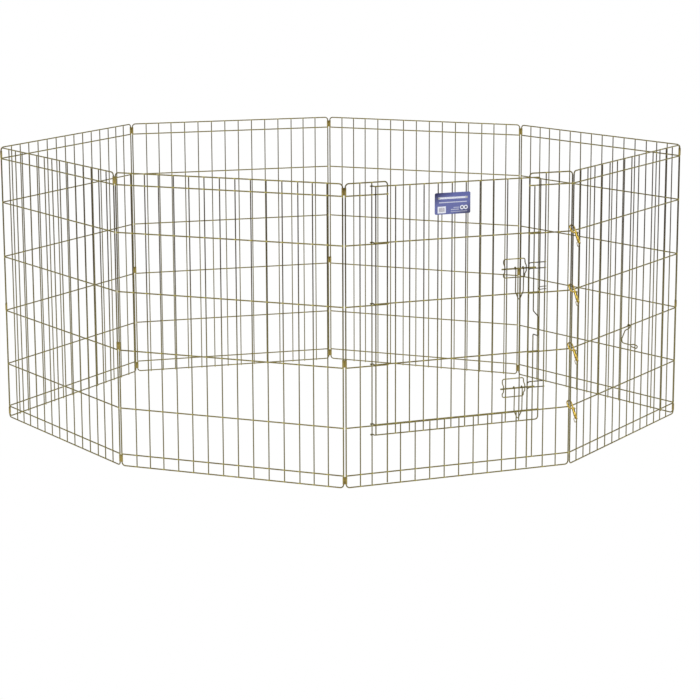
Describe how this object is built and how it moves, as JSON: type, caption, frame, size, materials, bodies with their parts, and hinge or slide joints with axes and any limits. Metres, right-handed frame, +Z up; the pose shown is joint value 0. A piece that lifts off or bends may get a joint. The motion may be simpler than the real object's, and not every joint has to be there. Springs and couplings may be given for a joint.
{
  "type": "pet playpen",
  "caption": "Folding wire exercise pen for pets: welded gold-zinc panels hinged by rolled clips, a swing door with bolt latches, and bolt snaps that close the ring.",
  "frame": {"origin": "bottom centre of the whole pen as it stands, on the ground", "axes": "+Z up; the door panel runs along X and faces -Y; +X is the longest side of the ring"},
  "size_m": [1.7586, 1.4008, 0.762],
  "materials": {
    "rail_wire": "yellow zinc-plated steel wire, light olive gold",
    "bar_wire": "yellow zinc-plated steel wire, brown gold",
    "clip_zinc": "yellow zinc-plated rolled sheet",
    "snap_zinc": "bright yellow-plated casting",
    "spring_steel": "plain spring steel",
    "label": "printed card, pale violet"
  },
  "bodies": {
    "door_panel": {"door_panel_frame": "rail_wire", "door_panel_rails": "rail_wire", "door_panel_bars": "bar_wire", "bow_bar": "bar_wire", "door_stop": "rail_wire", "latch_catches": "rail_wire"},
    "right_front_panel": {"right_front_panel_frame": "rail_wire", "right_front_panel_rails": "rail_wire", "right_front_panel_bars": "bar_wire"},
    "right_back_panel": {"right_back_panel_frame": "rail_wire", "right_back_panel_rails": "rail_wire", "right_back_panel_bars": "bar_wire"},
    "back_right_panel": {"back_right_panel_frame": "rail_wire", "back_right_panel_rails": "rail_wire", "back_right_panel_bars": "bar_wire"},
    "back_left_panel": {"back_left_panel_frame": "rail_wire", "back_left_panel_rails": "rail_wire", "back_left_panel_bars": "bar_wire"},
    "left_back_panel": {"left_back_panel_frame": "rail_wire", "left_back_panel_rails": "rail_wire", "left_back_panel_bars": "bar_wire"},
    "left_front_panel": {"left_front_panel_frame": "rail_wire", "left_front_panel_rails": "rail_wire", "left_front_panel_bars": "bar_wire"},
    "front_panel": {"front_panel_frame": "rail_wire", "front_panel_rails": "rail_wire", "front_panel_bars": "bar_wire"},
    "door": {"door_frame": "rail_wire", "door_rails": "rail_wire", "door_bars": "bar_wire", "latch_cages": "rail_wire", "label_card": "label"},
    "upper_bolt": {"upper_latch_bolt": "rail_wire"},
    "upper_handle": {"upper_latch_handle": "rail_wire"},
    "lower_bolt": {"lower_latch_bolt": "rail_wire"},
    "lower_handle": {"lower_latch_handle": "rail_wire"},
    "clips_right": {"hinge_clips_right": "clip_zinc"},
    "clips_back_right": {"hinge_clips_back_right": "clip_zinc"},
    "clips_back": {"hinge_clips_back": "clip_zinc"},
    "clips_back_left": {"hinge_clips_back_left": "clip_zinc"},
    "clips_left": {"hinge_clips_left": "clip_zinc"},
    "clips_front_left": {"hinge_clips_front_left": "clip_zinc"},
    "clips_front": {"hinge_clips_front": "clip_zinc"},
    "snap_1": {"snap_1_body": "snap_zinc", "snap_1_spring": "spring_steel"},
    "snap_1_bolt": {"snap_1_bolt": "snap_zinc"},
    "snap_1_ring": {"snap_1_ring": "snap_zinc"},
    "snap_2": {"snap_2_body": "snap_zinc", "snap_2_spring": "spring_steel"},
    "snap_2_bolt": {"snap_2_bolt": "snap_zinc"},
    "snap_2_ring": {"snap_2_ring": "snap_zinc"},
    "snap_3": {"snap_3_body": "snap_zinc", "snap_3_spring": "spring_steel"},
    "snap_3_bolt": {"snap_3_bolt": "snap_zinc"},
    "snap_3_ring": {"snap_3_ring": "snap_zinc"},
    "snap_4": {"snap_4_body": "snap_zinc", "snap_4_spring": "spring_steel"},
    "snap_4_bolt": {"snap_4_bolt": "snap_zinc"},
    "snap_4_ring": {"snap_4_ring": "snap_zinc"},
    "storage_hook": {"storage_hook": "rail_wire"}
  },
  "joints": [
    {"name": "fold", "type": "hinge", "parent": "back_left_panel", "child": "clips_back_left", "pos_m": [-0.40978, 0.69797, 0], "axis": [0, 0, -1], "range_deg": [0, 110.5]},
    {"name": "left_back_panel_turn", "type": "hinge", "parent": "clips_back_left", "child": "left_back_panel", "pos_m": [-0.41605, 0.69593, 0], "axis": [0, 0, -1], "range_deg": [0, 110.6]},
    {"name": "left_clips_turn", "type": "hinge", "parent": "left_back_panel", "child": "clips_left", "pos_m": [-0.87488, 0.30406, 0], "axis": [0, 0, 1], "range_deg": [0, 54.85]},
    {"name": "left_front_panel_turn", "type": "hinge", "parent": "clips_left", "child": "left_front_panel", "pos_m": [-0.87673, 0.29772, 0], "axis": [0, 0, 1], "range_deg": [0, 54.85]},
    {"name": "front_left_clips_turn", "type": "hinge", "parent": "left_front_panel", "child": "clips_front_left", "pos_m": [-0.70031, -0.27931, 0], "axis": [0, 0, 1], "range_deg": [-104.85, 0]},
    {"name": "front_panel_turn", "type": "hinge", "parent": "clips_front_left", "child": "front_panel", "pos_m": [-0.69664, -0.2848, 0], "axis": [0, 0, 1], "range_deg": [-104.85, 0]},
    {"name": "front_clips_turn", "type": "hinge", "parent": "front_panel", "child": "clips_front", "pos_m": [-0.23105, -0.66861, 0], "axis": [0, 0, 1], "range_deg": [0, 68.35]},
    {"name": "door_panel_turn", "type": "hinge", "parent": "clips_front", "child": "door_panel", "pos_m": [-0.22483, -0.67084, 0], "axis": [0, 0, 1], "range_deg": [0, 68.35]},
    {"name": "back_clips_turn", "type": "hinge", "parent": "back_left_panel", "child": "clips_back", "pos_m": [0.19176, 0.65063, 0], "axis": [0, 0, 1], "range_deg": [-70.1, 0]},
    {"name": "back_right_panel_turn", "type": "hinge", "parent": "clips_back", "child": "back_right_panel", "pos_m": [0.19786, 0.64811, 0], "axis": [0, 0, 1], "range_deg": [-70.1, 0]},
    {"name": "back_right_clips_turn", "type": "hinge", "parent": "back_right_panel", "child": "clips_back_right", "pos_m": [0.65669, 0.25623, 0], "axis": [0, 0, 1], "range_deg": [0, 102.35]},
    {"name": "right_back_panel_turn", "type": "hinge", "parent": "clips_back_right", "child": "right_back_panel", "pos_m": [0.6605, 0.25084, 0], "axis": [0, 0, 1], "range_deg": [0, 102.35]},
    {"name": "right_clips_turn", "type": "hinge", "parent": "right_back_panel", "child": "clips_right", "pos_m": [0.87674, -0.31248, 0], "axis": [0, 0, 1], "range_deg": [-50.35, 0]},
    {"name": "right_front_panel_turn", "type": "hinge", "parent": "clips_right", "child": "right_front_panel", "pos_m": [0.87484, -0.3188, 0], "axis": [0, 0, 1], "range_deg": [-50.35, 0]},
    {"name": "door_swing", "type": "hinge", "parent": "door_panel", "child": "door", "pos_m": [-0.15583, -0.66794, 0.45726], "axis": [0, 0, -1], "range_deg": [0, 100]},
    {"name": "upper_bolt_slide", "type": "slide", "parent": "door", "child": "upper_bolt", "axis": [-1, 0, 0], "range_m": [0, 0.026]},
    {"name": "upper_handle_lift", "type": "hinge", "parent": "upper_bolt", "child": "upper_handle", "pos_m": [0.23067, -0.68124, 0.525], "axis": [1, 0, 0], "range_deg": [-165, 0]},
    {"name": "lower_bolt_slide", "type": "slide", "parent": "door", "child": "lower_bolt", "axis": [-1, 0, 0], "range_m": [0, 0.026]},
    {"name": "lower_handle_lift", "type": "hinge", "parent": "lower_bolt", "child": "lower_handle", "pos_m": [0.23067, -0.68124, 0.219], "axis": [1, 0, 0], "range_deg": [-165, 0]},
    {"name": "snap_1_lift", "type": "hinge", "parent": "door_panel", "child": "snap_1", "pos_m": [0.38108, -0.67002, 0.61528], "axis": [-0.9507, -0.31, 0], "range_deg": [0, 55]},
    {"name": "snap_1_bolt_pull", "type": "slide", "parent": "snap_1", "child": "snap_1_bolt", "axis": [0.01, -0.5909, -0.8067], "range_m": [0, 0.008], "stiffness_N_per_m": 400, "springref_m": -0.005, "deforming": ["snap_1_spring"]},
    {"name": "snap_1_ring_swing", "type": "hinge", "parent": "snap_1", "child": "snap_1_ring", "pos_m": [0.38862, -0.69121, 0.58317], "axis": [0.9672, 0.2106, -0.1422], "range_deg": [-60, 60]},
    {"name": "snap_2_lift", "type": "hinge", "parent": "door_panel", "child": "snap_2", "pos_m": [0.38108, -0.67002, 0.46376], "axis": [-0.9507, -0.31, 0], "range_deg": [0, 55]},
    {"name": "snap_2_bolt_pull", "type": "slide", "parent": "snap_2", "child": "snap_2_bolt", "axis": [0.01, -0.5909, -0.8067], "range_m": [0, 0.008], "stiffness_N_per_m": 400, "springref_m": -0.005, "deforming": ["snap_2_spring"]},
    {"name": "snap_2_ring_swing", "type": "hinge", "parent": "snap_2", "child": "snap_2_ring", "pos_m": [0.38862, -0.69121, 0.43165], "axis": [0.9672, 0.2106, -0.1422], "range_deg": [-60, 60]},
    {"name": "snap_3_lift", "type": "hinge", "parent": "door_panel", "child": "snap_3", "pos_m": [0.38108, -0.67002, 0.31224], "axis": [-0.9507, -0.31, 0], "range_deg": [0, 55]},
    {"name": "snap_3_bolt_pull", "type": "slide", "parent": "snap_3", "child": "snap_3_bolt", "axis": [0.01, -0.5909, -0.8067], "range_m": [0, 0.008], "stiffness_N_per_m": 400, "springref_m": -0.005, "deforming": ["snap_3_spring"]},
    {"name": "snap_3_ring_swing", "type": "hinge", "parent": "snap_3", "child": "snap_3_ring", "pos_m": [0.38862, -0.69121, 0.28013], "axis": [0.9672, 0.2106, -0.1422], "range_deg": [-60, 60]},
    {"name": "snap_4_lift", "type": "hinge", "parent": "door_panel", "child": "snap_4", "pos_m": [0.38108, -0.67002, 0.16072], "axis": [-0.9507, -0.31, 0], "range_deg": [0, 55]},
    {"name": "snap_4_bolt_pull", "type": "slide", "parent": "snap_4", "child": "snap_4_bolt", "axis": [0.01, -0.5909, -0.8067], "range_m": [0, 0.008], "stiffness_N_per_m": 400, "springref_m": -0.005, "deforming": ["snap_4_spring"]},
    {"name": "snap_4_ring_swing", "type": "hinge", "parent": "snap_4", "child": "snap_4_ring", "pos_m": [0.38862, -0.69121, 0.12861], "axis": [0.9672, 0.2106, -0.1422], "range_deg": [-60, 60]},
    {"name": "storage_hook_swing", "type": "hinge", "parent": "right_front_panel", "child": "storage_hook", "pos_m": [0.6433, -0.48396, 0.30574], "axis": [0.8141, 0.5807, 0], "range_deg": [-90, 45]}
  ],
  "couplings": [
    {"joint": "left_back_panel_turn", "follows": "fold", "ratio": 1},
    {"joint": "left_clips_turn", "follows": "fold", "ratio": 0.49548},
    {"joint": "left_front_panel_turn", "follows": "fold", "ratio": 0.49548},
    {"joint": "front_left_clips_turn", "follows": "fold", "ratio": -0.94796},
    {"joint": "front_panel_turn", "follows": "fold", "ratio": -0.94796},
    {"joint": "front_clips_turn", "follows": "fold", "ratio": 0.61765},
    {"joint": "door_panel_turn", "follows": "fold", "ratio": 0.61765},
    {"joint": "back_clips_turn", "follows": "fold", "ratio": -0.63348},
    {"joint": "back_right_panel_turn", "follows": "fold", "ratio": -0.63348},
    {"joint": "back_right_clips_turn", "follows": "fold", "ratio": 0.92534},
    {"joint": "right_back_panel_turn", "follows": "fold", "ratio": 0.92534},
    {"joint": "right_clips_turn", "follows": "fold", "ratio": -0.45475},
    {"joint": "right_front_panel_turn", "follows": "fold", "ratio": -0.45475}
  ]
}
